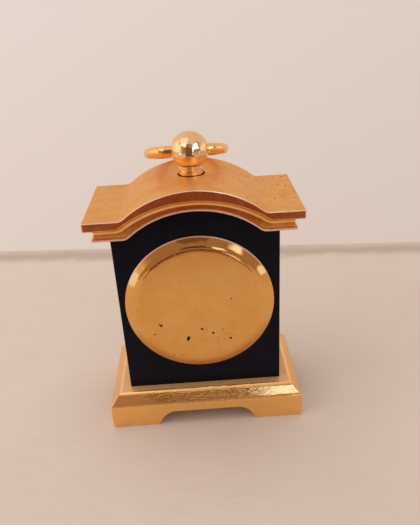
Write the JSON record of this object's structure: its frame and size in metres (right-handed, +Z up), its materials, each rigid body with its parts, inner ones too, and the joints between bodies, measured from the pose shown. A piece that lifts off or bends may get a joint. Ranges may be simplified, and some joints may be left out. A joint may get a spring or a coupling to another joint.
{
  "type": "miniature clock",
  "caption": "Miniature break-arch mantel clock: black case, gold plinth and cornice, round bevelled back cover, ball crown with a folding ring, quartz movement.",
  "frame": {"origin": "on the surface that it stands on, under the centre of the plinth", "axes": "+Z up, -Y to the dial side, +X to the right as seen from the dial side"},
  "size_m": [0.038, 0.0231, 0.0562],
  "materials": {
    "gold_plate": "polished gold plate",
    "black_lacquer": "gloss lacquer",
    "steel": "satin",
    "brass": "satin",
    "glass": "polished",
    "white_nylon": "smooth",
    "white_dial": "satin",
    "black_hands": "satin",
    "holder_plastic": "moulded",
    "black_rubber": "matt",
    "soft_iron": "satin",
    "copper": "enamelled wire",
    "board_green": "solder mask",
    "black_epoxy": "moulded"
  },
  "bodies": {
    "case": {"plinth": "gold_plate", "plinth_screws": "steel", "trunk": "black_lacquer", "cornice": "gold_plate", "insert_tube": "brass", "bezel": "gold_plate", "crystal": "glass", "crystal_gasket": "white_nylon", "reflector_ring": "gold_plate", "dial": "white_dial", "dial_washer": "brass", "movement_holder": "holder_plastic", "back_cover": "gold_plate", "back_gasket": "black_rubber", "main_plate": "brass", "train_bridge": "steel", "movement_screws": "steel", "stator": "soft_iron", "coil_core": "soft_iron", "coil_winding": "copper", "circuit_board": "board_green", "quartz_can": "steel", "control_chip": "black_epoxy", "battery": "steel", "battery_clip": "steel"},
    "minute": {"centre_wheel": "brass", "cannon_pinion": "brass", "minute_hand": "black_hands"},
    "hour": {"hour_wheel": "brass", "hour_hand": "black_hands"},
    "minute_gear": {"minute_wheel": "brass"},
    "setting_gear": {"setting_wheel": "steel"},
    "third_gear": {"third_wheel": "brass"},
    "intermediate_gear": {"intermediate_wheel": "brass"},
    "motor_rotor": {"rotor": "soft_iron"},
    "clutch": {"clutch_pinion": "steel"},
    "crown": {"crown_ball": "gold_plate", "setting_stem": "steel"},
    "ring": {"bow": "gold_plate"}
  },
  "joints": [
    {"name": "minute_turn", "type": "hinge", "parent": "case", "child": "minute", "pos_m": [0, 0, 0.02564], "axis": [0, 1, 0], "continuous": true},
    {"name": "hour_turn", "type": "hinge", "parent": "case", "child": "hour", "pos_m": [0, 0, 0.02564], "axis": [0, 1, 0], "continuous": true},
    {"name": "minute_wheel_turn", "type": "hinge", "parent": "case", "child": "minute_gear", "pos_m": [0, 0, 0.02864], "axis": [0, 1, 0], "continuous": true},
    {"name": "setting_wheel_turn", "type": "hinge", "parent": "case", "child": "setting_gear", "pos_m": [0, 0, 0.03202], "axis": [0, 1, 0], "continuous": true},
    {"name": "third_wheel_turn", "type": "hinge", "parent": "case", "child": "third_gear", "pos_m": [-0.0018, 0, 0.02384], "axis": [0, 1, 0], "continuous": true},
    {"name": "intermediate_wheel_turn", "type": "hinge", "parent": "case", "child": "intermediate_gear", "pos_m": [-0.00417, 0, 0.02342], "axis": [0, 1, 0], "continuous": true},
    {"name": "rotor_turn", "type": "hinge", "parent": "case", "child": "motor_rotor", "pos_m": [-0.00493, 0, 0.02553], "axis": [0, 1, 0], "continuous": true},
    {"name": "crown_turn", "type": "hinge", "parent": "case", "child": "clutch", "pos_m": [0, 0, 0.05288], "axis": [0, 0, 1], "continuous": true},
    {"name": "crown_pull", "type": "slide", "parent": "clutch", "child": "crown", "axis": [0, 0, 1], "range_m": [0, 0.0008]},
    {"name": "bow_swing", "type": "hinge", "parent": "crown", "child": "ring", "pos_m": [0, 0, 0.05288], "axis": [-0.9997, -0.0262, 0], "range_deg": [0, 215]}
  ],
  "couplings": [
    {"joint": "hour_turn", "follows": "minute_turn", "ratio": 0.083333},
    {"joint": "minute_wheel_turn", "follows": "minute_turn", "ratio": -0.33333},
    {"joint": "setting_wheel_turn", "follows": "minute_turn", "ratio": 0.66667},
    {"joint": "third_wheel_turn", "follows": "minute_turn", "ratio": -5},
    {"joint": "intermediate_wheel_turn", "follows": "minute_turn", "ratio": 15},
    {"joint": "rotor_turn", "follows": "minute_turn", "ratio": -90}
  ]
}
